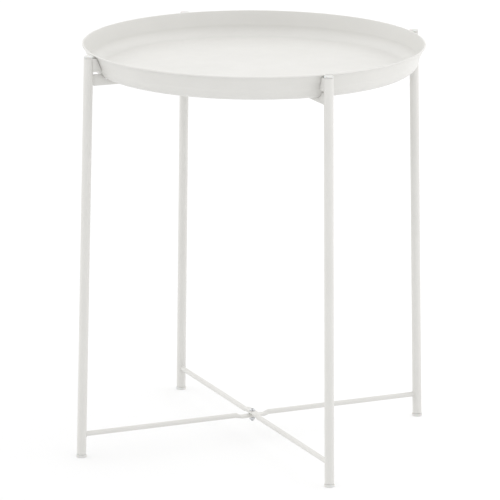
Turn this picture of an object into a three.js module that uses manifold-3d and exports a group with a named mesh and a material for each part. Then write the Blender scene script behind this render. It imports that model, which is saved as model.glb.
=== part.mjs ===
// Round tray table on a folding frame.
//
// Two leg frames cross under a loose steel tray. Each frame is two splayed tubes joined by a flat tray bar
// at the top and a round rod near the floor. A bolt through the two bars and a screw through the two rods
// share one upright axis, so the frames fold together like scissors once the tray is lifted off.
//
// Millimetres, +Z up. The origin is on the floor, below the pivot axis. The main frame lies along X and the
// cross frame along Y.

import * as THREE from 'three';
import { mergeVertices } from 'three/addons/utils/BufferGeometryUtils.js';
import Module from 'manifold-3d';

// ---- driving dimensions ----

const TABLE_HEIGHT = 525; // floor to the tray's rim
const GAP = 0.3; // between pieces that touch
const PLAY = 0.3; // around a pin or a plug, on the radius

// Legs
const LEG_HEIGHT = 524.4; // floor to the top of the leg caps
const LEG_FLOOR_RADIUS = 240.3; // pivot axis to the leg's centre line at the floor
const LEG_TOP_RADIUS = 227.3; // the same at LEG_HEIGHT
const TUBE_RADIUS = 6;
const TUBE_WALL = 1;
const CAP_HEAD = 2.4;
const CAP_STEM = 9;
const FOOT_HEAD = 3.6;
const FOOT_HEAD_RADIUS = 6.6;
const FOOT_STEM = 13;

// Tray
const RIM_RADIUS = 220;
const TRAY_UNDERSIDE = 491.8;
const SHEET = 1;
const TRAY_CORNER_RADIUS = 16; // outside, between the base and the wall
const TRAY_WALL_RADIUS = 212; // outside, where the wall leaves the corner
const HEM_RADIUS = 1.2; // rolled edge

// Tray bars and the guides above them
const BAR_THICKNESS = 3;
const BAR_CLEARANCE = 0.4; // between a bar and the tray
const BAR_DEPTH = 5.5;
const BAR_HORN_TOP = 500.2; // the bar's ends rise outside the tray's corner
const BAR_CHAMFER = 2;
const BAR_DIP = BAR_DEPTH + 1.4; // how far the cross bar ducks under the main bar
const BAR_DIP_HALF_LENGTH = 34;
const GUIDE_BOTTOM = 504.2;
const GUIDE_TOP = 521.2;
const GUIDE_THICKNESS = 11;
const GUIDE_CORNER = 1.6; // cut off the guide's lower inner corner
const GUIDE_PLAY = 0.4; // between a guide and the tray's wall

// Upper pivot
const BUSH_RADIUS = 7;
const BUSH_RECESS = 2.2; // the main bush stops this far below the bar's top edge, to sink the bolt head
const BOLT_RADIUS = 3;
const BOLT_HEAD_RADIUS = 5.5;
const BOLT_HEAD_HEIGHT = 1.6;
const BOLT_POINT = 1.2; // how far the bolt stands out of its nut
const WASHER_RADIUS = 6.2;
const WASHER_THICKNESS = 0.8;
const NUT_ACROSS_FLATS = 10;
const NUT_HEIGHT = 5;

// Stretcher rods and the lower pivot
const ROD_RADIUS = 3.25;
const ROD_HEIGHT = 30.3; // of both rods' centre lines
const FLAT_THICKNESS = 3.5; // the middle of a rod is pressed flat, to one side, round its screw hole
const FLAT_HALF_WIDTH = 4.7;
const FLAT_HALF_LENGTH = 15;
const TAPER_HALF_LENGTH = 24; // where the flattening begins
const SCREW_RADIUS = 2;
const SCREW_HEAD_RADIUS = 3.8;
const SCREW_HEAD_HEIGHT = 2.2;
const SCREW_POINT = 2; // how far the screw stands out of its nut
const SPACER_RADIUS = 4.6;
const SPACER_THICKNESS = 0.5;
const SMALL_NUT_ACROSS_FLATS = 7;
const SMALL_NUT_HEIGHT = 3.2;

// Facets
const ROUND_STEPS = 24;
const TRAY_STEPS = 72;
const ARC_STEPS = 6;

const LEG_TILT = Math.atan((LEG_FLOOR_RADIUS - LEG_TOP_RADIUS) / LEG_HEIGHT);
const LEG_LENGTH = LEG_HEIGHT / Math.cos(LEG_TILT);
const BAR_TOP = TRAY_UNDERSIDE - BAR_CLEARANCE;
const BAR_BOTTOM = BAR_TOP - BAR_DEPTH;

// ---- materials ----

const powderCoat = new THREE.MeshStandardMaterial({ color: 0xf0efeb, roughness: 0.45, metalness: 0 });
const whitePlastic = new THREE.MeshStandardMaterial({ color: 0xe9e8e4, roughness: 0.55, metalness: 0 });
const nylon = new THREE.MeshStandardMaterial({ color: 0xdedcd4, roughness: 0.6, metalness: 0 });
const zinc = new THREE.MeshStandardMaterial({ color: 0xb9bcc0, roughness: 0.35, metalness: 1 });

// ---- solids ----

const wasm = await Module();
wasm.setup();

// A closed geometry as a solid that can be joined and cut.
function solidOf(geometry) {
  const bare = geometry.index ? geometry.toNonIndexed() : geometry.clone();
  bare.deleteAttribute('normal');
  bare.deleteAttribute('uv');
  const merged = mergeVertices(bare, 1e-4);
  const vertProperties = merged.attributes.position.array;
  return new wasm.Manifold(new wasm.Mesh({ numProp: 3, vertProperties, triVerts: merged.index.array }));
}

// The geometry of a solid, with flat faces.
function geometryOf(solid) {
  const { vertProperties, triVerts } = solid.getMesh();
  const geometry = new THREE.BufferGeometry();
  geometry.setAttribute('position', new THREE.BufferAttribute(vertProperties, 3));
  geometry.setIndex(new THREE.BufferAttribute(triVerts, 1));
  const faceted = geometry.toNonIndexed();
  faceted.computeVertexNormals();
  return faceted;
}

function cut(geometry, ...tools) {
  const remaining = tools.reduce((solid, tool) => solid.subtract(solidOf(tool)), solidOf(geometry));
  return geometryOf(remaining);
}

function join(first, second) {
  return geometryOf(solidOf(first).add(solidOf(second)));
}

// A profile of [radius, height] points, turned about +Z. It runs from the bottom, round the outside, to the
// top.
function revolve(profile, steps = ROUND_STEPS) {
  const points = profile.map(([radius, height]) => new THREE.Vector2(radius, height));
  return new THREE.LatheGeometry(points, steps).rotateX(Math.PI / 2);
}

function disc(radius, bottom, top) {
  return revolve([[0, bottom], [radius, bottom], [radius, top], [0, top]]);
}

// A ring with a square section.
function ring(inner, outer, bottom, top) {
  return revolve([[inner, bottom], [outer, bottom], [outer, top], [inner, top], [inner, bottom]]);
}

// A flat plate standing upright in the XZ plane, from its [x, z] outline.
function uprightPlate(outline, thickness) {
  const shape = new THREE.Shape(outline.map(([x, z]) => new THREE.Vector2(x, z)));
  const geometry = new THREE.ExtrudeGeometry(shape, { depth: thickness, bevelEnabled: false });
  return geometry.rotateX(Math.PI / 2).translate(0, thickness / 2, 0);
}

// Points of a round stretch, from one angle to another, both in degrees.
function arc([x, z], radius, from, to, steps = ARC_STEPS) {
  return Array.from({ length: steps + 1 }, (_, i) => {
    const angle = THREE.MathUtils.degToRad(from + ((to - from) * i) / steps);
    return [x + radius * Math.cos(angle), z + radius * Math.sin(angle)];
  });
}

function hexNut(acrossFlats, height, bore, bottom) {
  const corner = acrossFlats / Math.sqrt(3);
  const prism = new THREE.CylinderGeometry(corner, corner, height, 6);
  prism.rotateX(Math.PI / 2).translate(0, 0, bottom + height / 2);
  return cut(prism, disc(bore, bottom - 1, bottom + height + 1));
}

// ---- leg pieces, along the leg's own centre line from the floor ----

// The tube's inner side, measured from the pivot axis at a height.
function tubeInnerRadius(height) {
  const centre = THREE.MathUtils.lerp(LEG_FLOOR_RADIUS, LEG_TOP_RADIUS, height / LEG_HEIGHT);
  return centre - TUBE_RADIUS;
}

function legTube() {
  return ring(TUBE_RADIUS - TUBE_WALL, TUBE_RADIUS, FOOT_HEAD + GAP, LEG_LENGTH - CAP_HEAD - GAP);
}

// What a piece that meets the right-hand tube is coped with.
function copingTool() {
  return disc(TUBE_RADIUS + GAP, 0, LEG_LENGTH).rotateY(-LEG_TILT).translate(LEG_FLOOR_RADIUS, 0, 0);
}

// A push-in plug with a low domed head.
function legCap() {
  const stem = TUBE_RADIUS - TUBE_WALL - PLAY;
  const neck = LEG_LENGTH - CAP_HEAD;
  return revolve([
    [0, neck - CAP_STEM],
    [stem, neck - CAP_STEM],
    [stem, neck],
    [TUBE_RADIUS, neck],
    [TUBE_RADIUS, neck + CAP_HEAD * 0.5],
    [TUBE_RADIUS * 0.9, neck + CAP_HEAD * 0.8],
    [TUBE_RADIUS * 0.6, neck + CAP_HEAD],
    [0, neck + CAP_HEAD],
  ]);
}

// A push-in foot. Its sole is cut level, so it stands flat although the leg leans.
function legFoot() {
  const stem = TUBE_RADIUS - TUBE_WALL - PLAY;
  const spare = 2;
  const plug = revolve([
    [0, -spare],
    [FOOT_HEAD_RADIUS, -spare],
    [FOOT_HEAD_RADIUS, FOOT_HEAD],
    [stem, FOOT_HEAD],
    [stem, FOOT_HEAD + FOOT_STEM],
    [0, FOOT_HEAD + FOOT_STEM],
  ]);
  const size = 4 * FOOT_HEAD_RADIUS;
  const floor = new THREE.BoxGeometry(size, size, size).translate(0, 0, -size / 2).rotateY(LEG_TILT);
  return cut(plug, floor);
}

// ---- tray ----

function tray() {
  const cornerCentre = [TRAY_WALL_RADIUS - TRAY_CORNER_RADIUS, TRAY_UNDERSIDE + TRAY_CORNER_RADIUS];
  const hemCentre = [RIM_RADIUS - HEM_RADIUS, TABLE_HEIGHT - HEM_RADIUS];
  const hem = arc(hemCentre, HEM_RADIUS, -105, 180, 2 * ARC_STEPS);
  return revolve(
    [
      [0, TRAY_UNDERSIDE],
      ...arc(cornerCentre, TRAY_CORNER_RADIUS, -90, 0),
      ...hem,
      ...arc(cornerCentre, TRAY_CORNER_RADIUS - SHEET, 0, -90),
      [0, TRAY_UNDERSIDE + SHEET],
    ],
    TRAY_STEPS,
  );
}

// ---- tray bars and guides ----

// A bar on edge that carries the tray. Its ends rise like horns round the tray's corner, and its middle
// sinks by `dip`.
function trayBar(dip) {
  const cornerCentre = [TRAY_WALL_RADIUS - TRAY_CORNER_RADIUS, TRAY_UNDERSIDE + TRAY_CORNER_RADIUS];
  const cradle = cornerCentre[1] - BAR_TOP;
  const hornAngle = THREE.MathUtils.radToDeg(Math.asin((BAR_HORN_TOP - cornerCentre[1]) / cradle));
  const end = tubeInnerRadius(BAR_HORN_TOP) - GAP;
  const topHalf = [
    [BAR_DIP_HALF_LENGTH, BAR_TOP - dip],
    [BAR_DIP_HALF_LENGTH + BAR_DIP, BAR_TOP],
    ...arc(cornerCentre, cradle, -90, hornAngle),
    [end, BAR_HORN_TOP],
    [end, BAR_BOTTOM + BAR_CHAMFER],
    [end - BAR_CHAMFER, BAR_BOTTOM],
    [BAR_DIP_HALF_LENGTH + BAR_DIP, BAR_BOTTOM],
    [BAR_DIP_HALF_LENGTH, BAR_BOTTOM - dip],
  ];
  const mirrored = topHalf.map(([x, z]) => [-x, z]).reverse();
  return uprightPlate([...topHalf, ...mirrored], BAR_THICKNESS);
}

// The main bar, with a bush for the pivot bolt and room above it for the bolt's head.
function mainBar() {
  const bushTop = BAR_TOP - BUSH_RECESS;
  const welded = join(trayBar(0), disc(BUSH_RADIUS, BAR_BOTTOM, bushTop));
  const hole = disc(BOLT_RADIUS + PLAY, BAR_BOTTOM - 1, BAR_TOP + 1);
  const recess = disc(BUSH_RADIUS, bushTop, BAR_TOP + 1);
  return cut(welded, hole, recess);
}

// The cross bar, which ducks under the main bar in the middle.
function crossBar() {
  const bushBottom = BAR_BOTTOM - BAR_DIP;
  const bushTop = BAR_TOP - BAR_DIP;
  const welded = join(trayBar(BAR_DIP), disc(BUSH_RADIUS, bushBottom, bushTop));
  return cut(welded, disc(BOLT_RADIUS + PLAY, bushBottom - 1, bushTop + 1));
}

// A small block between a leg's top and the tray's wall, coped to the tube. It keeps the tray centred.
function guide() {
  const wallBottom = TRAY_UNDERSIDE + TRAY_CORNER_RADIUS;
  const wallHeight = TABLE_HEIGHT - HEM_RADIUS - wallBottom;
  const wallLean = (RIM_RADIUS - HEM_RADIUS - TRAY_WALL_RADIUS) / wallHeight;
  const foot = TRAY_WALL_RADIUS + GUIDE_PLAY;
  const reach = tubeInnerRadius(GUIDE_TOP) + TUBE_RADIUS / 2;
  const outline = [
    [reach, GUIDE_BOTTOM],
    [reach, GUIDE_TOP],
    [foot + (GUIDE_TOP - wallBottom) * wallLean, GUIDE_TOP],
    [foot, wallBottom],
    [foot, GUIDE_BOTTOM + GUIDE_CORNER],
    [foot + GUIDE_CORNER, GUIDE_BOTTOM],
  ];
  return cut(uprightPlate(outline, GUIDE_THICKNESS), copingTool());
}

// ---- upper pivot: bolt, spacer, washer and nut, from the top down ----

const MAIN_BUSH_TOP = BAR_TOP - BUSH_RECESS;
const CROSS_BUSH_TOP = BAR_TOP - BAR_DIP;
const CROSS_BUSH_BOTTOM = BAR_BOTTOM - BAR_DIP;
const WASHER_TOP = CROSS_BUSH_BOTTOM - GAP;
const NUT_TOP = WASHER_TOP - WASHER_THICKNESS - GAP;

function pivotBolt() {
  const headBottom = MAIN_BUSH_TOP + GAP;
  const end = NUT_TOP - NUT_HEIGHT - BOLT_POINT;
  return revolve([
    [0, end],
    [BOLT_RADIUS, end],
    [BOLT_RADIUS, headBottom],
    [BOLT_HEAD_RADIUS, headBottom],
    [BOLT_HEAD_RADIUS * 0.9, headBottom + BOLT_HEAD_HEIGHT * 0.6],
    [BOLT_HEAD_RADIUS * 0.6, headBottom + BOLT_HEAD_HEIGHT],
    [0, headBottom + BOLT_HEAD_HEIGHT],
  ]);
}

// The nylon spacer between the two bars' bushes.
function pivotSpacer() {
  return ring(BOLT_RADIUS + PLAY, WASHER_RADIUS, CROSS_BUSH_TOP + GAP, BAR_BOTTOM - GAP);
}

function pivotWasher() {
  return ring(BOLT_RADIUS + PLAY, WASHER_RADIUS, WASHER_TOP - WASHER_THICKNESS, WASHER_TOP);
}

function pivotNut() {
  return hexNut(NUT_ACROSS_FLATS, NUT_HEIGHT, BOLT_RADIUS + PLAY, NUT_TOP - NUT_HEIGHT);
}

// ---- stretcher rods and the lower pivot ----

// How far a rod's flat lies above or below its centre line, so that the two flats pass with the spacer
// between them while both rods run at one height.
const FLAT_RISE = (FLAT_THICKNESS + SPACER_THICKNESS) / 2 + GAP;

// A closed skin over rings of points. Each ring runs from +Y over +Z, and the rings follow one another
// along +X.
function loft(rings) {
  const sides = rings[0].length;
  const faces = [];
  for (let r = 0; r < rings.length - 1; r += 1) {
    for (let k = 0; k < sides; k += 1) {
      const here = r * sides + k;
      const beside = r * sides + ((k + 1) % sides);
      faces.push(here, beside, here + sides);
      faces.push(beside, beside + sides, here + sides);
    }
  }
  const last = (rings.length - 1) * sides;
  for (let k = 1; k < sides - 1; k += 1) {
    faces.push(0, k + 1, k);
    faces.push(last, last + k, last + k + 1);
  }
  const geometry = new THREE.BufferGeometry();
  geometry.setAttribute('position', new THREE.Float32BufferAttribute(rings.flat(2), 3));
  geometry.setIndex(faces);
  return geometry;
}

// A point of a rod's section: a circle that squares up as the rod gets flatter.
function sectionPoint(turn, flat) {
  const halfWidth = THREE.MathUtils.lerp(ROD_RADIUS, FLAT_HALF_WIDTH, flat);
  const halfHeight = THREE.MathUtils.lerp(ROD_RADIUS, FLAT_THICKNESS / 2, flat);
  const power = 2 / (2 + 4 * flat);
  const bulge = (value) => Math.sign(value) * Math.abs(value) ** power;
  return [halfWidth * bulge(Math.cos(turn)), halfHeight * bulge(Math.sin(turn))];
}

// A round rod along X from leg to leg, coped to the two tubes. Its middle is pressed into a flat that lies
// `rise` above the rod's centre line and has a hole for the screw.
function stretcherRod(rise) {
  const reach = tubeInnerRadius(ROD_HEIGHT) + TUBE_RADIUS / 2;
  const midTaper = (FLAT_HALF_LENGTH + TAPER_HALF_LENGTH) / 2;
  const right = [FLAT_HALF_LENGTH, midTaper, TAPER_HALF_LENGTH, reach];
  const stations = [...right.map((x) => -x).reverse(), ...right];
  const rings = stations.map((x) => {
    const fromMiddle = Math.abs(x);
    const taper = (TAPER_HALF_LENGTH - fromMiddle) / (TAPER_HALF_LENGTH - FLAT_HALF_LENGTH);
    const flat = THREE.MathUtils.clamp(taper, 0, 1);
    return Array.from({ length: ROUND_STEPS }, (_, k) => {
      const [y, z] = sectionPoint((2 * Math.PI * k) / ROUND_STEPS, flat);
      return [x, y, ROD_HEIGHT + rise * flat + z];
    });
  });
  const hole = disc(SCREW_RADIUS + PLAY, 0, 2 * ROD_HEIGHT);
  return cut(loft(rings), hole, copingTool(), copingTool().rotateZ(Math.PI));
}

const UPPER_FLAT_TOP = ROD_HEIGHT + FLAT_RISE + FLAT_THICKNESS / 2;
const LOWER_FLAT_BOTTOM = ROD_HEIGHT - FLAT_RISE - FLAT_THICKNESS / 2;
const SMALL_NUT_TOP = LOWER_FLAT_BOTTOM - GAP;

function lowerScrew() {
  const headBottom = UPPER_FLAT_TOP + GAP;
  const end = SMALL_NUT_TOP - SMALL_NUT_HEIGHT - SCREW_POINT;
  return revolve([
    [0, end],
    [SCREW_RADIUS, end],
    [SCREW_RADIUS, headBottom],
    [SCREW_HEAD_RADIUS, headBottom],
    [SCREW_HEAD_RADIUS * 0.85, headBottom + SCREW_HEAD_HEIGHT * 0.65],
    [SCREW_HEAD_RADIUS * 0.5, headBottom + SCREW_HEAD_HEIGHT],
    [0, headBottom + SCREW_HEAD_HEIGHT],
  ]);
}

// The nylon spacer that keeps the two rods apart.
function lowerSpacer() {
  const bottom = ROD_HEIGHT - SPACER_THICKNESS / 2;
  return ring(SCREW_RADIUS + PLAY, SPACER_RADIUS, bottom, bottom + SPACER_THICKNESS);
}

function lowerNut() {
  const bottom = SMALL_NUT_TOP - SMALL_NUT_HEIGHT;
  return hexNut(SMALL_NUT_ACROSS_FLATS, SMALL_NUT_HEIGHT, SCREW_RADIUS + PLAY, bottom);
}

// ---- assembly ----

function piece(name, geometry, material) {
  const mesh = new THREE.Mesh(geometry, material);
  mesh.name = name;
  return mesh;
}

// A leg with its cap, foot and tray guide, turned about the pivot axis to its place.
function leg(name, turn) {
  const upright = new THREE.Group();
  upright.position.x = LEG_FLOOR_RADIUS;
  upright.rotation.y = -LEG_TILT;
  upright.add(piece(`${name}_leg`, legTube(), powderCoat));
  upright.add(piece(`${name}_cap`, legCap(), whitePlastic));
  upright.add(piece(`${name}_foot`, legFoot(), whitePlastic));
  const group = new THREE.Group();
  group.rotation.z = turn;
  group.add(upright);
  group.add(piece(`${name}_guide`, guide(), powderCoat));
  return group;
}

// The bar and the rod that join a frame's two legs.
function crosspieces(name, bar, flatRise, turn) {
  const group = new THREE.Group();
  group.rotation.z = turn;
  group.add(piece(`${name}_tray_bar`, bar, powderCoat));
  group.add(piece(`${name}_stretcher_rod`, stretcherRod(flatRise), powderCoat));
  return group;
}

const table = new THREE.Group();
table.add(piece('tray', tray(), powderCoat));

table.add(leg('main_right', 0));
table.add(leg('main_left', Math.PI));
table.add(leg('cross_back', Math.PI / 2));
table.add(leg('cross_front', -Math.PI / 2));

table.add(crosspieces('main', mainBar(), -FLAT_RISE, 0));
table.add(crosspieces('cross', crossBar(), FLAT_RISE, Math.PI / 2));

table.add(piece('upper_pivot_bolt', pivotBolt(), zinc));
table.add(piece('upper_pivot_spacer', pivotSpacer(), nylon));
table.add(piece('upper_pivot_washer', pivotWasher(), zinc));
table.add(piece('upper_pivot_nut', pivotNut(), zinc));

table.add(piece('lower_pivot_screw', lowerScrew(), zinc));
table.add(piece('lower_pivot_spacer', lowerSpacer(), nylon));
table.add(piece('lower_pivot_nut', lowerNut(), zinc));

export default table;
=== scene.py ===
"""Round tray table on a folding frame: the looks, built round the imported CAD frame.

Everything is in metres in the CAD's own frame: +Z up from the floor, the pivot axis on Z, the main frame's
legs on +X and -X and the cross frame's on +Y and -Y. A piece is first made in the main frame's right-hand
half and then turned about Z to its place.
"""

import math

import bmesh
import bpy
from mathutils import Matrix, Vector


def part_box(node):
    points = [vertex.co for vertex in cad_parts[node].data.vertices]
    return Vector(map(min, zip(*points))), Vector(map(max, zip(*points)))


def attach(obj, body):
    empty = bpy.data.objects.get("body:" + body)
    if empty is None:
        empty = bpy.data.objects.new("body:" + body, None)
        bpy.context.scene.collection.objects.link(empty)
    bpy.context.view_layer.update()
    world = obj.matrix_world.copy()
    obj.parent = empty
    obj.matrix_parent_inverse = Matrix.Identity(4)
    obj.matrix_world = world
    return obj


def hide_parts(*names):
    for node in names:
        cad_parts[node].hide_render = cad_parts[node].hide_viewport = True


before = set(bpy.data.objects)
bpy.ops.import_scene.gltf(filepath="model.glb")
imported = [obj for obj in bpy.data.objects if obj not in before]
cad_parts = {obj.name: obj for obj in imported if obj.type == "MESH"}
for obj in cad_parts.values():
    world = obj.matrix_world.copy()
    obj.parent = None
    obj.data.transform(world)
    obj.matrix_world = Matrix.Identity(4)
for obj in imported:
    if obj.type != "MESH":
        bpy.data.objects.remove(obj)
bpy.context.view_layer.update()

MM = 0.001
GAP = 0.3 * MM  # between pieces that touch

# Where each leg and each frame stands, as a turn about Z.
LEGS = {
    "main_right": 0.0,
    "cross_back": math.pi / 2,
    "main_left": math.pi,
    "cross_front": -math.pi / 2,
}
FRAMES = {"main": 0.0, "cross": math.pi / 2}

# ---- sizes, the CAD's own ----

LEG_HEIGHT = 524.4 * MM  # to the top of the caps
LEG_FLOOR_RADIUS = 240.3 * MM  # from the pivot axis to the leg's centre line at the floor
LEG_TOP_RADIUS = 227.3 * MM  # the same at LEG_HEIGHT
LEG_LEAN = (LEG_FLOOR_RADIUS - LEG_TOP_RADIUS) / LEG_HEIGHT
LEG_TILT = math.atan(LEG_LEAN)
LEG_LENGTH = LEG_HEIGHT / math.cos(LEG_TILT)
TUBE_RADIUS = 6 * MM
TUBE_WALL = 1 * MM
CAP_HEAD = 2.4 * MM
CAP_STEM = 9 * MM
FOOT_HEAD = 3.6 * MM
FOOT_HEAD_RADIUS = 6.6 * MM
FOOT_STEM = 13 * MM

tray_low, tray_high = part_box("tray")
RIM_RADIUS = tray_high.x
SHEET = 1 * MM
TRAY_CORNER_RADIUS = 16 * MM
TRAY_WALL_RADIUS = 212 * MM  # where the wall leaves the corner
HEM_RADIUS = 1.2 * MM
CORNER_CENTRE = (TRAY_WALL_RADIUS - TRAY_CORNER_RADIUS, tray_low.z + TRAY_CORNER_RADIUS)
HEM_CENTRE = (RIM_RADIUS - HEM_RADIUS, tray_high.z - HEM_RADIUS)

BAR_THICKNESS = 3 * MM
GUIDE_THICKNESS = 11 * MM
bar_low, bar_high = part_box("main_tray_bar")
guide_low, guide_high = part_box("main_right_guide")
BAR_DEPTH = 5.5 * MM
BAR_TOP = bar_low.z + BAR_DEPTH
BAR_BOTTOM = bar_low.z
HORN_TOP = bar_high.z
BAR_CHAMFER = 2 * MM
BAR_DIP = bar_low.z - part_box("cross_tray_bar")[0].z
BAR_DIP_HALF_LENGTH = 34 * MM
GUIDE_CORNER = 1.6 * MM
GUIDE_PLAY = 0.4 * MM
WELD_DEPTH = 0.5 * MM  # how far a bar or a guide reaches into the wall of the tube it is welded to
COPE_RADIUS = TUBE_RADIUS - WELD_DEPTH
BUSH_RADIUS = 7 * MM
BUSH_BORE = 3.3 * MM
BUSH_RECESS = 2.2 * MM

ROD_RADIUS = 3.25 * MM
ROD_HEIGHT = 30.3 * MM
FLAT_RISE = 2.3 * MM  # how far the cross rod's flat lies above its centre line, and the main rod's below
FLAT_THICKNESS = 3.5 * MM
FLAT_HALF_WIDTH = 4.7 * MM
FLAT_HALF_LENGTH = 15 * MM
TAPER_HALF_LENGTH = 24 * MM
FLAT_BORE = 2.3 * MM

BOLT_RADIUS = 3 * MM
BOLT_PITCH = 1 * MM
BOLT_HEAD_HEIGHT = 1.6 * MM
BOLT_SOCKET = 4 * MM  # across its flats
NUT_ACROSS_FLATS = 10 * MM
SCREW_RADIUS = 2 * MM
SCREW_PITCH = 0.7 * MM
SCREW_HEAD_HEIGHT = 2.2 * MM
SCREW_SOCKET = 2.5 * MM
SMALL_NUT_ACROSS_FLATS = 7 * MM
THREAD_PLAY = 0.1 * MM  # between a nut's bore and the ridges of the thread

# ---- mesh building ----

TOUCHING = 1e-7  # points closer than this are one point
SHARP = math.radians(32)  # edges that turn by more than this stay sharp


def finish_mesh(name, bm, material, turn=0.0):
    """A bmesh as an object, shaded smooth with sharp corners kept."""
    bmesh.ops.remove_doubles(bm, verts=bm.verts, dist=TOUCHING)
    bmesh.ops.recalc_face_normals(bm, faces=bm.faces)
    bmesh.ops.transform(bm, matrix=Matrix.Rotation(turn, 4, "Z"), verts=bm.verts)
    mesh = bpy.data.meshes.new(name)
    bm.to_mesh(mesh)
    bm.free()
    mesh.shade_smooth()
    mesh.set_sharp_from_angle(angle=SHARP)
    mesh.materials.append(material)
    piece = bpy.data.objects.new(name, mesh)
    bpy.context.scene.collection.objects.link(piece)
    return piece


def place(piece, body, slot, *nodes):
    """Rides a piece on its body, in place of the CAD nodes it shows."""
    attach(piece, body)
    if nodes:
        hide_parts(*nodes)
    return piece


def arc(centre, radius, start, end, steps):
    """Points of a round stretch between two angles in degrees."""
    points = []
    for i in range(steps + 1):
        angle = math.radians(start + (end - start) * i / steps)
        points.append((centre[0] + radius * math.cos(angle), centre[1] + radius * math.sin(angle)))
    return points


def rounded(corners, radius, steps=4, closed=False):
    """A polyline with its corners rounded, each by `radius` or by what its sides leave room for."""
    count = len(corners)
    points = []
    for i, corner in enumerate(corners):
        if not closed and i in (0, count - 1):
            points.append(corner)
            continue
        here = Vector(corner)
        before = Vector(corners[i - 1]) - here
        after = Vector(corners[(i + 1) % count]) - here
        half = before.angle(after) / 2
        if half > math.radians(85):
            points.append(corner)
            continue
        room = 0.45 * min(before.length, after.length)
        setback = min(radius / math.tan(half), room)
        first = here + before.normalized() * setback
        last = here + after.normalized() * setback
        for k in range(steps + 1):
            t = k / steps
            points.append(tuple((1 - t) ** 2 * first + 2 * t * (1 - t) * here + t**2 * last))
    return points


def revolve(profile, steps=48):
    """A profile of (radius, height) points turned about Z. It runs from axis to axis, or closes on itself."""
    bm = bmesh.new()
    closed = (Vector(profile[0]) - Vector(profile[-1])).length < TOUCHING
    rings = []
    for radius, height in profile[:-1] if closed else profile:
        count = 1 if radius < TOUCHING else steps
        angles = [2 * math.pi * k / steps for k in range(count)]
        rings.append([bm.verts.new((radius * math.cos(a), radius * math.sin(a), height)) for a in angles])
    if closed:
        rings.append(rings[0])
    for lower, upper in zip(rings, rings[1:]):
        for k in range(steps):
            after = (k + 1) % steps
            corners = [
                lower[k % len(lower)],
                lower[after % len(lower)],
                upper[after % len(upper)],
                upper[k % len(upper)],
            ]
            distinct = list(dict.fromkeys(corners))
            if len(distinct) > 2:
                bm.faces.new(distinct)
    return bm


def upright_plate(outline, thickness, soft=0.25 * MM):
    """A flat plate standing in the XZ plane, from its (x, z) outline, with its edges softened."""
    bm = bmesh.new()
    front = [bm.verts.new((x, -thickness / 2, z)) for x, z in outline]
    face = bm.faces.new(front)
    grown = bmesh.ops.extrude_face_region(bm, geom=[face])["geom"]
    moved = [item for item in grown if isinstance(item, bmesh.types.BMVert)]
    bmesh.ops.translate(bm, verts=moved, vec=(0, thickness, 0))
    bmesh.ops.recalc_face_normals(bm, faces=bm.faces)
    rims = [e for e in bm.edges if len({round(v.co.y, 7) for v in e.verts}) == 1]
    bmesh.ops.bevel(bm, geom=rims, offset=soft, segments=2, profile=0.5, affect="EDGES")
    return bm


def bead(path, radius, closed=False):
    """A weld bead: a round string along a path, swelling a little at every stroke of the torch."""
    sides = 10
    ripple = 0.12
    stroke = 1.4 * MM
    blunt = 0.55  # how much thinner the string is at its ends
    bm = bmesh.new()
    points = [Vector(p) for p in path]
    count = len(points)
    rings = []
    travelled = 0.0
    side = None
    for i, point in enumerate(points):
        ahead = points[(i + 1) % count] if closed or i < count - 1 else point
        behind = points[i - 1] if closed or i > 0 else point
        along = (ahead - behind).normalized()
        if side is None:
            side = along.orthogonal().normalized()
        side = (side - along * side.dot(along)).normalized()
        across = along.cross(side)
        if i:
            travelled += (point - points[i - 1]).length
        swell = radius * (1 + ripple * math.sin(2 * math.pi * travelled / stroke))
        if not closed and i in (0, count - 1):
            swell *= blunt
        angles = [2 * math.pi * k / sides for k in range(sides)]
        outwards = [side * math.cos(a) + across * math.sin(a) for a in angles]
        rings.append([bm.verts.new(point + swell * outward) for outward in outwards])
    pairs = list(zip(rings, rings[1:]))
    if closed:
        pairs.append((rings[-1], rings[0]))
    for lower, upper in pairs:
        for k in range(sides):
            after = (k + 1) % sides
            bm.faces.new((lower[k], lower[after], upper[after], upper[k]))
    if not closed:
        bm.faces.new(rings[0])
        bm.faces.new(rings[-1])
    return bm


def combine(parts):
    """Several bmeshes as one."""
    whole = bmesh.new()
    for part in parts:
        mesh = bpy.data.meshes.new("part")
        part.to_mesh(mesh)
        part.free()
        whole.from_mesh(mesh)
        bpy.data.meshes.remove(mesh)
    return whole


def line(start, end, steps):
    """Evenly spaced points from start to end."""
    start, end = Vector(start), Vector(end)
    return [start.lerp(end, i / steps) for i in range(steps + 1)]


def cut(piece, tool, operation="DIFFERENCE"):
    """Cuts the tool out of a piece, or keeps only what both hold, and removes the tool."""
    modifier = piece.modifiers.new("cut", "BOOLEAN")
    modifier.operation = operation
    modifier.solver = "EXACT"
    modifier.object = tool
    bpy.context.view_layer.update()
    evaluated = piece.evaluated_get(bpy.context.evaluated_depsgraph_get())
    mesh = bpy.data.meshes.new_from_object(evaluated)
    piece.modifiers.clear()
    old = piece.data
    piece.data = mesh
    mesh.name = piece.name
    bpy.data.meshes.remove(old)
    bpy.data.objects.remove(tool)
    mesh.shade_smooth()
    mesh.set_sharp_from_angle(angle=SHARP)
    return piece


def hex_tool(across_flats, bottom, top):
    """A plain hexagonal prism to cut with."""
    corner = across_flats / math.sqrt(3)
    bm = bmesh.new()
    rings = [
        [
            bm.verts.new((corner * math.cos(math.pi * k / 3), corner * math.sin(math.pi * k / 3), z))
            for k in range(6)
        ]
        for z in (bottom, top)
    ]
    bm.faces.new(rings[0])
    bm.faces.new(rings[1])
    for k in range(6):
        after = (k + 1) % 6
        bm.faces.new((rings[0][k], rings[0][after], rings[1][after], rings[1][k]))
    return finish_mesh("tool", bm, powder_coat)


# ---- materials ----


def new_material(name):
    """A material with its nodes and links."""
    material = bpy.data.materials.new(name)
    material.use_nodes = True
    return material, material.node_tree.nodes, material.node_tree.links


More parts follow.
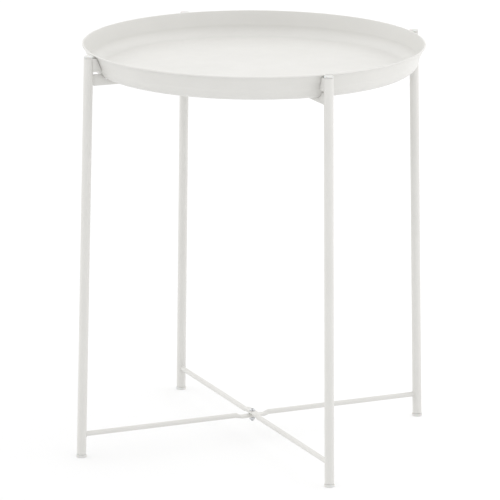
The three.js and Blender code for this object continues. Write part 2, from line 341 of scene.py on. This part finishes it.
def noise(nodes, links, coordinates, scale, detail):
    """A noise between 0 and 1, with `scale` waves to the metre."""
    texture = nodes.new("ShaderNodeTexNoise")
    texture.inputs["Scale"].default_value = scale
    texture.inputs["Detail"].default_value = detail
    links.new(coordinates, texture.inputs["Vector"])
    return texture.outputs["Fac"]


def between(nodes, links, factor, low, high):
    """A value that follows a noise between low and high."""
    spread = nodes.new("ShaderNodeMapRange")
    spread.inputs["From Min"].default_value = 0.3
    spread.inputs["From Max"].default_value = 0.7
    spread.inputs["To Min"].default_value = low
    spread.inputs["To Max"].default_value = high
    links.new(factor, spread.inputs["Value"])
    return spread.outputs["Result"]


def tint(nodes, links, factor, low, high):
    """A colour that follows a noise between two colours."""
    mix = nodes.new("ShaderNodeMix")
    mix.data_type = "RGBA"
    mix.inputs["A"].default_value = (*low, 1)
    mix.inputs["B"].default_value = (*high, 1)
    links.new(between(nodes, links, factor, 0, 1), mix.inputs["Factor"])
    return mix.outputs["Result"]


def bump(nodes, links, height, distance, below=None):
    """A bumped normal, on top of the normal `below`."""
    node = nodes.new("ShaderNodeBump")
    node.inputs["Strength"].default_value = 1
    node.inputs["Distance"].default_value = distance
    links.new(height, node.inputs["Height"])
    if below is not None:
        links.new(below, node.inputs["Normal"])
    return node.outputs["Normal"]


def coated(name, low, high, gloss, peel, grain):
    """A surface with drifting colour and gloss, a soft orange peel and a fine grain on top of it.

    gloss is the range of roughness; peel and grain are (wavelength, depth) in metres.
    """
    material, nodes, links = new_material(name)
    shader = nodes["Principled BSDF"]
    coordinates = nodes.new("ShaderNodeTexCoord").outputs["Object"]
    drift = noise(nodes, links, coordinates, 1 / 0.06, detail=3)
    cloud = noise(nodes, links, coordinates, 1 / 0.018, detail=4)
    links.new(tint(nodes, links, drift, low, high), shader.inputs["Base Color"])
    links.new(between(nodes, links, cloud, *gloss), shader.inputs["Roughness"])
    soft = bump(nodes, links, noise(nodes, links, coordinates, 1 / peel[0], detail=1), peel[1])
    fine = bump(nodes, links, noise(nodes, links, coordinates, 1 / grain[0], detail=2), grain[1], soft)
    links.new(fine, shader.inputs["Normal"])
    return material, shader


def make_powder_coat():
    """Warm white satin powder coat."""
    material, shader = coated(
        "powder_coat",
        low=(0.65, 0.643, 0.619),
        high=(0.672, 0.665, 0.641),
        gloss=(0.40, 0.5),
        peel=(2.2 * MM, 0.03 * MM),
        grain=(0.45 * MM, 0.006 * MM),
    )
    shader.inputs["Specular IOR Level"].default_value = 0.45
    return material


def make_plastic():
    """White moulded plastic of the caps and feet."""
    material, shader = coated(
        "white_plastic",
        low=(0.65, 0.644, 0.625),
        high=(0.672, 0.666, 0.647),
        gloss=(0.48, 0.6),
        peel=(1.6 * MM, 0.01 * MM),
        grain=(0.25 * MM, 0.006 * MM),
    )
    shader.inputs["Subsurface Weight"].default_value = 0.05
    return material


def make_nylon():
    """Natural nylon of the spacers, slightly see-through."""
    material, shader = coated(
        "nylon",
        low=(0.66, 0.645, 0.59),
        high=(0.70, 0.685, 0.63),
        gloss=(0.42, 0.55),
        peel=(1.2 * MM, 0.008 * MM),
        grain=(0.3 * MM, 0.004 * MM),
    )
    shader.inputs["Subsurface Weight"].default_value = 0.2
    return material


def make_zinc():
    """Bright zinc plate, clouded a little."""
    material, shader = coated(
        "zinc",
        low=(0.56, 0.57, 0.59),
        high=(0.66, 0.67, 0.68),
        gloss=(0.24, 0.4),
        peel=(1.5 * MM, 0.006 * MM),
        grain=(0.15 * MM, 0.003 * MM),
    )
    shader.inputs["Metallic"].default_value = 1
    return material


powder_coat = make_powder_coat()
white_plastic = make_plastic()
nylon = make_nylon()
zinc = make_zinc()

# ---- legs ----


def body_of(name):
    """The body that a leg or crosspiece belongs to."""
    return name.split("_")[0] + "_frame"


def leg_centre(height):
    """Distance from the pivot axis to the leg's centre line at a height."""
    return LEG_FLOOR_RADIUS - LEG_LEAN * height


LEAN = Matrix.Translation((LEG_FLOOR_RADIUS, 0, 0)) @ Matrix.Rotation(-LEG_TILT, 4, "Y")


def leaned(bm):
    """Moves a piece made along Z onto the right-hand leg's centre line."""
    bmesh.ops.transform(bm, matrix=LEAN, verts=bm.verts)
    return bm


def leg_tube():
    """An open tube between the cap and the foot."""
    inner = TUBE_RADIUS - TUBE_WALL
    low = FOOT_HEAD + GAP
    high = LEG_LENGTH - CAP_HEAD - GAP
    chamfer = 0.2 * MM
    profile = [
        (inner, low),
        (TUBE_RADIUS - chamfer, low),
        (TUBE_RADIUS, low + chamfer),
        (TUBE_RADIUS, high - chamfer),
        (TUBE_RADIUS - chamfer, high),
        (inner, high),
        (inner, low),
    ]
    return leaned(revolve(profile))


def leg_cap():
    """A push-in plug with a low domed head."""
    stem = TUBE_RADIUS - TUBE_WALL - GAP
    neck = LEG_LENGTH - CAP_HEAD
    top = neck + CAP_HEAD - 0.15 * MM
    head = rounded([(stem, neck), (TUBE_RADIUS, neck), (TUBE_RADIUS, top), (0, top)], 0.3 * MM)
    dome = rounded([head[-3], (TUBE_RADIUS, top), (0, top)], 1.6 * MM, steps=8)
    shoulder = [p for p in head if p[1] < neck + CAP_HEAD / 2]
    return leaned(revolve([(0, neck - CAP_STEM), (stem, neck - CAP_STEM)] + shoulder + dome[1:]))


def leg_foot():
    """A push-in foot with rounded edges, cut level with the floor."""
    stem = TUBE_RADIUS - TUBE_WALL - GAP
    low = -0.3 * MM
    outside = [
        (0, low),
        (FOOT_HEAD_RADIUS, low),
        (FOOT_HEAD_RADIUS, FOOT_HEAD),
        (stem, FOOT_HEAD),
    ]
    inside = [(stem, FOOT_HEAD + FOOT_STEM), (0, FOOT_HEAD + FOOT_STEM)]
    bm = leaned(revolve(rounded(outside, 0.9 * MM, steps=6) + inside))
    everything = bm.verts[:] + bm.edges[:] + bm.faces[:]
    bmesh.ops.bisect_plane(bm, geom=everything, plane_co=(0, 0, 0), plane_no=(0, 0, -1), clear_outer=True)
    bmesh.ops.holes_fill(bm, edges=[e for e in bm.edges if e.is_boundary])
    return bm


def make_legs():
    for name, turn in LEGS.items():
        body = body_of(name)
        tube = finish_mesh(f"{name}_tube", leg_tube(), powder_coat, turn)
        place(tube, body, "frame_powder_coat", f"{name}_leg")
        cap = finish_mesh(f"{name}_tube_cap", leg_cap(), white_plastic, turn)
        place(cap, body, "white_plastic", f"{name}_cap")
        foot = finish_mesh(f"{name}_tube_foot", leg_foot(), white_plastic, turn)
        place(foot, body, "white_plastic", f"{name}_foot")


# ---- tray ----


def make_tray():
    """The sheet from the middle of the underside round the outside of the rim to the middle of the top."""
    seam = 0.35 * MM  # between the wall and the edge curled back against it
    start = arc(HEM_CENTRE, HEM_RADIUS, -130, -130, 1)[0]
    profile = (
        [(0, tray_low.z)]
        + arc(CORNER_CENTRE, TRAY_CORNER_RADIUS, -90, 0, 14)
        + [(start[0] + 0.25 * seam, start[1] - seam), (start[0] - 0.25 * seam, start[1] + 0.5 * seam)]
        + arc(HEM_CENTRE, HEM_RADIUS, -112, 180, 18)
        + arc(CORNER_CENTRE, TRAY_CORNER_RADIUS - SHEET, 0, -90, 14)
        + [(0, tray_low.z + SHEET)]
    )
    tray = finish_mesh("serving_tray", revolve(profile, steps=192), powder_coat)
    place(tray, "tray", "tray_powder_coat", "tray")


# ---- tray bars and guides ----


def tube_side(height):
    """Where a plate ends that is welded to the right-hand tube, just inside the tube's wall."""
    return leg_centre(height) - TUBE_RADIUS + WELD_DEPTH


def bar_arm(dip):
    """The right-hand half of a tray bar, from inside the bush's wall to the leg."""
    cradle = CORNER_CENTRE[1] - BAR_TOP
    horn_angle = math.degrees(math.asin((HORN_TOP - CORNER_CENTRE[1]) / cradle))
    start = (BUSH_RADIUS + BUSH_BORE) / 2
    if dip:
        outline = [(start, BAR_TOP - dip), (BAR_DIP_HALF_LENGTH, BAR_TOP - dip)]
        outline += [(BAR_DIP_HALF_LENGTH + dip, BAR_TOP)]
    else:
        sunk = BAR_TOP - BUSH_RECESS
        outline = [(start, sunk), (BUSH_RADIUS, sunk), (BUSH_RADIUS, BAR_TOP)]
    outline += arc(CORNER_CENTRE, cradle, -90, horn_angle, 12)
    shoulder = BAR_BOTTOM + BAR_CHAMFER
    outline += [(tube_side(HORN_TOP), HORN_TOP), (tube_side(shoulder), shoulder)]
    outline += [(tube_side(BAR_BOTTOM) - BAR_CHAMFER, BAR_BOTTOM)]
    if dip:
        outline += [(BAR_DIP_HALF_LENGTH + dip, BAR_BOTTOM), (BAR_DIP_HALF_LENGTH, BAR_BOTTOM - dip)]
    outline += [(start, BAR_BOTTOM - dip)]
    return upright_plate(outline, BAR_THICKNESS)


def bush(dip):
    """The tube welded into the middle of a bar for the pivot bolt."""
    low = BAR_BOTTOM - dip
    high = BAR_TOP - dip if dip else BAR_TOP - BUSH_RECESS
    corners = [(BUSH_BORE, low), (BUSH_RADIUS, low), (BUSH_RADIUS, high), (BUSH_BORE, high)]
    profile = rounded(corners, 0.4 * MM, closed=True)
    return revolve(profile + profile[:1])


def half_turned(make, *arguments):
    """A piece and its copy half a turn round Z."""
    first = make(*arguments)
    second = make(*arguments)
    bmesh.ops.transform(second, matrix=Matrix.Rotation(math.pi, 4, "Z"), verts=second.verts)
    return [first, second]


def make_bars():
    for name, turn in FRAMES.items():
        dip = BAR_DIP if name == "cross" else 0.0
        parts = half_turned(bar_arm, dip) + [bush(dip)]
        bar = finish_mesh(f"{name}_bar", combine(parts), powder_coat, turn)
        place(bar, body_of(name), "frame_powder_coat", f"{name}_tray_bar")


def guide():
    """A block beside the right-hand tube; what reaches into the tube is cut away later."""
    low = guide_low.z
    high = guide_high.z
    reach = leg_centre(high) - TUBE_RADIUS / 2
    wall_lean = (HEM_CENTRE[0] - TRAY_WALL_RADIUS) / (HEM_CENTRE[1] - CORNER_CENTRE[1])
    foot = TRAY_WALL_RADIUS + GUIDE_PLAY
    outline = [
        (reach, low),
        (reach, high),
        (foot + (high - CORNER_CENTRE[1]) * wall_lean, high),
        (foot, CORNER_CENTRE[1]),
        (foot, low + GUIDE_CORNER),
        (foot + GUIDE_CORNER, low),
    ]
    return upright_plate(rounded(outline, 0.5 * MM, closed=True), GUIDE_THICKNESS, soft=0.4 * MM)


def make_guides():
    for name, turn in LEGS.items():
        block = finish_mesh(f"{name}_tray_guide", guide(), powder_coat)
        tube = revolve([(0, 0), (COPE_RADIUS, 0), (COPE_RADIUS, LEG_LENGTH), (0, LEG_LENGTH)])
        cut(block, finish_mesh("tool", leaned(tube), powder_coat))
        block.data.transform(Matrix.Rotation(turn, 4, "Z"))
        place(block, body_of(name), "frame_powder_coat", f"{name}_guide")


# ---- stretcher rods ----


def rod(rise):
    """A round rod along X. Its middle is pressed into a flat, `rise` above the centre line, for the screw."""
    sides = 32
    reach = leg_centre(ROD_HEIGHT) - TUBE_RADIUS + 0.98 * TUBE_WALL
    taper = TAPER_HALF_LENGTH - FLAT_HALF_LENGTH
    right = [FLAT_HALF_LENGTH * k / 4 for k in range(1, 4)]
    right += [FLAT_HALF_LENGTH + taper * k / 10 for k in range(11)]
    right += [reach]
    bm = bmesh.new()
    rings = []
    for x in [-x for x in reversed(right)] + [0] + right:
        distance = max(abs(x), FLAT_HALF_LENGTH)
        t = max((TAPER_HALF_LENGTH - distance) / taper, 0)
        flat = t * t * (3 - 2 * t)
        centre = ROD_HEIGHT + rise * flat
        half_width = ROD_RADIUS + (FLAT_HALF_WIDTH - ROD_RADIUS) * flat
        half_height = ROD_RADIUS + (FLAT_THICKNESS / 2 - ROD_RADIUS) * flat
        power = 2 / (2 + 4 * flat)  # the section goes from a circle to a flat with round edges
        ring = []
        for k in range(sides):
            angle = 2 * math.pi * k / sides
            c, s = math.cos(angle), math.sin(angle)
            y = half_width * math.copysign(abs(c) ** power, c)
            z = half_height * math.copysign(abs(s) ** power, s)
            ring.append(bm.verts.new((x, y, centre + z)))
        rings.append(ring)
    for left, right in zip(rings, rings[1:]):
        for k in range(sides):
            after = (k + 1) % sides
            bm.faces.new((left[k], left[after], right[after], right[k]))
    bm.faces.new(rings[0])
    bm.faces.new(rings[-1])
    return bm


def make_rods():
    for name, turn in FRAMES.items():
        piece = finish_mesh(f"{name}_rod", rod(-FLAT_RISE if name == "main" else FLAT_RISE), powder_coat)
        hole = revolve([(0, 0), (FLAT_BORE, 0), (FLAT_BORE, 2 * ROD_HEIGHT), (0, 2 * ROD_HEIGHT)])
        cut(piece, finish_mesh("tool", hole, powder_coat))
        piece.data.transform(Matrix.Rotation(turn, 4, "Z"))
        place(piece, body_of(name), "frame_powder_coat", f"{name}_stretcher_rod")


# ---- welds ----

WELD_MARGIN = 1.2 * MM
PLATE_WELD = 0.65 * MM


def rod_weld():
    """A bead round the end of the right-hand rod, following the tube's curve."""
    radius = ROD_RADIUS + 0.25 * MM
    path = []
    for k in range(36):
        angle = 2 * math.pi * k / 36
        y = radius * math.cos(angle)
        z = ROD_HEIGHT + radius * math.sin(angle)
        path.append((leg_centre(z) - math.sqrt(TUBE_RADIUS**2 - y**2), y, z))
    return bead(path, 0.75 * MM, closed=True)


def plate_welds(thickness, low, high):
    """Two upright beads where a plate meets the right-hand tube, between two heights."""
    beads = []
    for side in (-1, 1):
        y = side * (thickness / 2 + 0.2 * MM)
        inset = math.sqrt(TUBE_RADIUS**2 - y**2)
        ends = [(leg_centre(z) - inset, y, z) for z in (low + WELD_MARGIN, high - WELD_MARGIN)]
        beads.append(bead(line(*ends, 32), PLATE_WELD))
    return beads


def bush_beads(dip):
    """Upright beads between a bush and its two bar arms."""
    low = BAR_BOTTOM - dip + WELD_MARGIN
    high = (BAR_TOP - dip if dip else BAR_TOP - BUSH_RECESS) - WELD_MARGIN
    beads = []
    y = BAR_THICKNESS / 2 + 0.15 * MM
    x = math.sqrt(BUSH_RADIUS**2 - y**2)
    for side_x, side_y in ((1, 1), (1, -1), (-1, 1), (-1, -1)):
        ends = [(side_x * x, side_y * y, z) for z in (low, high)]
        beads.append(bead(line(*ends, 14), PLATE_WELD))
    return beads


def make_welds():
    for name, turn in LEGS.items():
        parts = [rod_weld()]
        parts += plate_welds(GUIDE_THICKNESS, guide_low.z, guide_high.z)
        parts += plate_welds(BAR_THICKNESS, BAR_BOTTOM + 2 * MM, HORN_TOP)
        weld = finish_mesh(f"{name}_welds", combine(parts), powder_coat, turn)
        place(weld, body_of(name), "frame_powder_coat")
    for name, turn in FRAMES.items():
        dip = BAR_DIP if name == "cross" else 0.0
        weld = finish_mesh(f"{name}_bush_welds", combine(bush_beads(dip)), powder_coat, turn)
        place(weld, body_of(name), "frame_powder_coat")


# ---- pivots ----


def ring(node, bore):
    """A washer or spacer, from its CAD box."""
    low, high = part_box(node)
    corners = [(bore, low.z), (high.x, low.z), (high.x, high.z), (bore, high.z)]
    profile = rounded(corners, 0.15 * MM, closed=True)
    return revolve(profile + profile[:1])


def threads(radius, pitch, low, high):
    """A profile of thread ridges between two heights."""
    depth = 0.5 * pitch * 0.6
    points = []
    for k in range(int((high - low) / pitch)):
        root = low + k * pitch
        points += [(radius - depth, root), (radius, root + 0.4 * pitch), (radius, root + 0.6 * pitch)]
    return points + [(radius - depth, points[-1][1] + 0.4 * pitch)]


def pin(node, shank, pitch, threaded, head_height, socket):
    """A bolt or screw with a domed head and a hexagonal socket, from its CAD box.

    Its threads run up from the point over the length `threaded`.
    """
    low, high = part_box(node)
    shoulder = high.z - head_height
    point = [(0, low.z)] + threads(shank, pitch, low.z + 0.1 * MM, low.z + threaded)
    point += [(shank, point[-1][1] + 0.3 * pitch), (shank, shoulder)]
    head = [(high.x, shoulder), (high.x, shoulder + head_height * 0.35), (high.x * 0.55, high.z), (0, high.z)]
    profile = point + rounded([point[-1]] + head, 0.8 * MM, steps=6)[1:]
    piece = finish_mesh(f"{node}_shown", revolve(profile), zinc)
    tool = hex_tool(socket, high.z - head_height * 0.7, high.z + 1 * MM)
    return cut(piece, tool)


def nut(node, across_flats, bore):
    """A hexagonal nut with chamfered corners, from its CAD box."""
    low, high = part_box(node)
    corner = across_flats / math.sqrt(3)
    edge = across_flats / 2 * 0.96
    drop = (corner - edge) * math.tan(math.radians(30))
    piece = hex_tool(across_flats, low.z, high.z)
    piece.name = f"{node}_shown"
    piece.data.materials.clear()
    piece.data.materials.append(zinc)
    body = [
        (bore, low.z),
        (edge, low.z),
        (corner, low.z + drop),
        (corner, high.z - drop),
        (edge, high.z),
        (bore, high.z),
        (bore, low.z),
    ]
    return cut(piece, finish_mesh("tool", revolve(body), zinc), "INTERSECT")


def make_pivots():
    bolt = pin("upper_pivot_bolt", BOLT_RADIUS, BOLT_PITCH, 9 * MM, BOLT_HEAD_HEIGHT, BOLT_SOCKET)
    place(bolt, "main_frame", "zinc", "upper_pivot_bolt")
    spacer = finish_mesh("upper_spacer", ring("upper_pivot_spacer", BUSH_BORE), nylon)
    place(spacer, "main_frame", "nylon", "upper_pivot_spacer")
    washer = finish_mesh("upper_washer", ring("upper_pivot_washer", BUSH_BORE), zinc)
    place(washer, "main_frame", "zinc", "upper_pivot_washer")
    upper_nut = nut("upper_pivot_nut", NUT_ACROSS_FLATS, BOLT_RADIUS + THREAD_PLAY)
    place(upper_nut, "main_frame", "zinc", "upper_pivot_nut")
    screw = pin("lower_pivot_screw", SCREW_RADIUS, SCREW_PITCH, 6 * MM, SCREW_HEAD_HEIGHT, SCREW_SOCKET)
    place(screw, "main_frame", "zinc", "lower_pivot_screw")
    spacer = finish_mesh("lower_spacer", ring("lower_pivot_spacer", FLAT_BORE), nylon)
    place(spacer, "main_frame", "nylon", "lower_pivot_spacer")
    lower_nut = nut("lower_pivot_nut", SMALL_NUT_ACROSS_FLATS, SCREW_RADIUS + THREAD_PLAY)
    place(lower_nut, "main_frame", "zinc", "lower_pivot_nut")


# ---- stage ----

# The camera stands where the photograph was taken from.
CAMERA_TURN = math.radians(-23.68)
CAMERA_DISTANCE = 5.0746
CAMERA_SIDESTEP = -0.0183
CAMERA_HEIGHT = 1.5307
CAMERA_PITCH = math.radians(14.155)
CAMERA_YAW = math.radians(0.162)
CAMERA_ROLL = math.radians(0.245)
CAMERA_LENS = 290.9
CAMERA_SENSOR = 36.0

RIGHTWARD = Vector((math.cos(CAMERA_TURN), math.sin(CAMERA_TURN), 0))
AWAY = Vector((-math.sin(CAMERA_TURN), math.cos(CAMERA_TURN), 0))

# How bright the light is all round, and how much brighter high up at both sides and behind the table.
LIGHT_ALL_ROUND = 1.035
LIGHT_HIGH_SIDES = 1.84
LIGHT_BACK = 0.12

# The floor glows a little, and more towards both sides.
FLOOR_HALF = 9.0
FLOOR_COLOUR = (0.5, 0.5, 0.5, 1)
FLOOR_GLOW = 0.39
FLOOR_GLOW_RIGHT = 0.11
FLOOR_GLOW_SIDES = 0.2
FLOOR_GLOW_REACH = 0.9


def make_camera():
    """A long lens from a little above the tray."""
    data = bpy.data.cameras.new("camera")
    data.lens = CAMERA_LENS
    data.sensor_width = CAMERA_SENSOR
    data.clip_end = 50
    camera = bpy.data.objects.new("camera", data)
    bpy.context.scene.collection.objects.link(camera)
    stand = Matrix.Rotation(CAMERA_TURN, 4, "Z")
    spot = Matrix.Translation((CAMERA_SIDESTEP, -CAMERA_DISTANCE, CAMERA_HEIGHT))
    aim = Matrix.Rotation(-CAMERA_YAW, 4, "Z") @ Matrix.Rotation(math.pi / 2 - CAMERA_PITCH, 4, "X")
    camera.matrix_world = stand @ spot @ aim @ Matrix.Rotation(CAMERA_ROLL, 4, "Z")
    bpy.context.scene.camera = camera


def dot_with(nodes, links, direction, axis):
    """How far a direction or a place lies along an axis."""
    node = nodes.new("ShaderNodeVectorMath")
    node.operation = "DOT_PRODUCT"
    node.inputs[1].default_value = axis
    links.new(direction, node.inputs[0])
    return node.outputs["Value"]


def joined(nodes, links, operation, first, second):
    """Two values joined by a maths operation; the second may be a plain number."""
    node = nodes.new("ShaderNodeMath")
    node.operation = operation
    links.new(first, node.inputs[0])
    if isinstance(second, float):
        node.inputs[1].default_value = second
    else:
        links.new(second, node.inputs[1])
    return node.outputs["Value"]


def make_floor():
    """A plain pale floor, lit from below like a studio sweep."""
    bm = bmesh.new()
    corners = [(-1, -1), (1, -1), (1, 1), (-1, 1)]
    bm.faces.new([bm.verts.new((FLOOR_HALF * x, FLOOR_HALF * y, 0)) for x, y in corners])
    material, nodes, links = new_material("floor")
    shader = nodes["Principled BSDF"]
    shader.inputs["Base Color"].default_value = FLOOR_COLOUR
    shader.inputs["Roughness"].default_value = 0.9
    shader.inputs["Emission Color"].default_value = (1, 1, 1, 1)
    place_on_floor = nodes.new("ShaderNodeTexCoord").outputs["Object"]
    reach = nodes.new("ShaderNodeMapRange")
    reach.inputs["From Min"].default_value = -FLOOR_GLOW_REACH
    reach.inputs["From Max"].default_value = FLOOR_GLOW_REACH
    reach.inputs["To Min"].default_value = -1
    links.new(dot_with(nodes, links, place_on_floor, RIGHTWARD), reach.inputs["Value"])
    sideways = reach.outputs["Result"]
    growth = joined(nodes, links, "MULTIPLY", sideways, FLOOR_GLOW_SIDES)
    slope = joined(nodes, links, "ADD", growth, FLOOR_GLOW_RIGHT)
    graded = joined(nodes, links, "MULTIPLY", slope, sideways)
    links.new(joined(nodes, links, "ADD", graded, FLOOR_GLOW), shader.inputs["Emission Strength"])
    finish_mesh("floor", bm, material)


def make_light():
    """Soft light from all round: brightest from high up at both sides, dimmest from the camera."""
    world = bpy.data.worlds.new("studio")
    bpy.context.scene.world = world
    world.use_nodes = True
    nodes, links = world.node_tree.nodes, world.node_tree.links
    background = nodes["Background"]
    background.inputs["Color"].default_value = (1, 1, 1, 1)
    direction = nodes.new("ShaderNodeTexCoord").outputs["Generated"]
    sideways = dot_with(nodes, links, direction, RIGHTWARD)
    upward = dot_with(nodes, links, direction, Vector((0, 0, LIGHT_HIGH_SIDES)))
    sides = joined(nodes, links, "MULTIPLY", sideways, sideways)
    high_sides = joined(nodes, links, "MULTIPLY", sides, upward)
    back = joined(nodes, links, "ADD", dot_with(nodes, links, direction, AWAY * LIGHT_BACK), LIGHT_ALL_ROUND)
    graded = joined(nodes, links, "ADD", high_sides, back)
    links.new(graded, background.inputs["Strength"])


bpy.context.scene.view_settings.view_transform = "Standard"

make_camera()
make_light()
make_floor()
make_tray()
make_legs()
make_bars()
make_guides()
make_rods()
make_welds()
make_pivots()
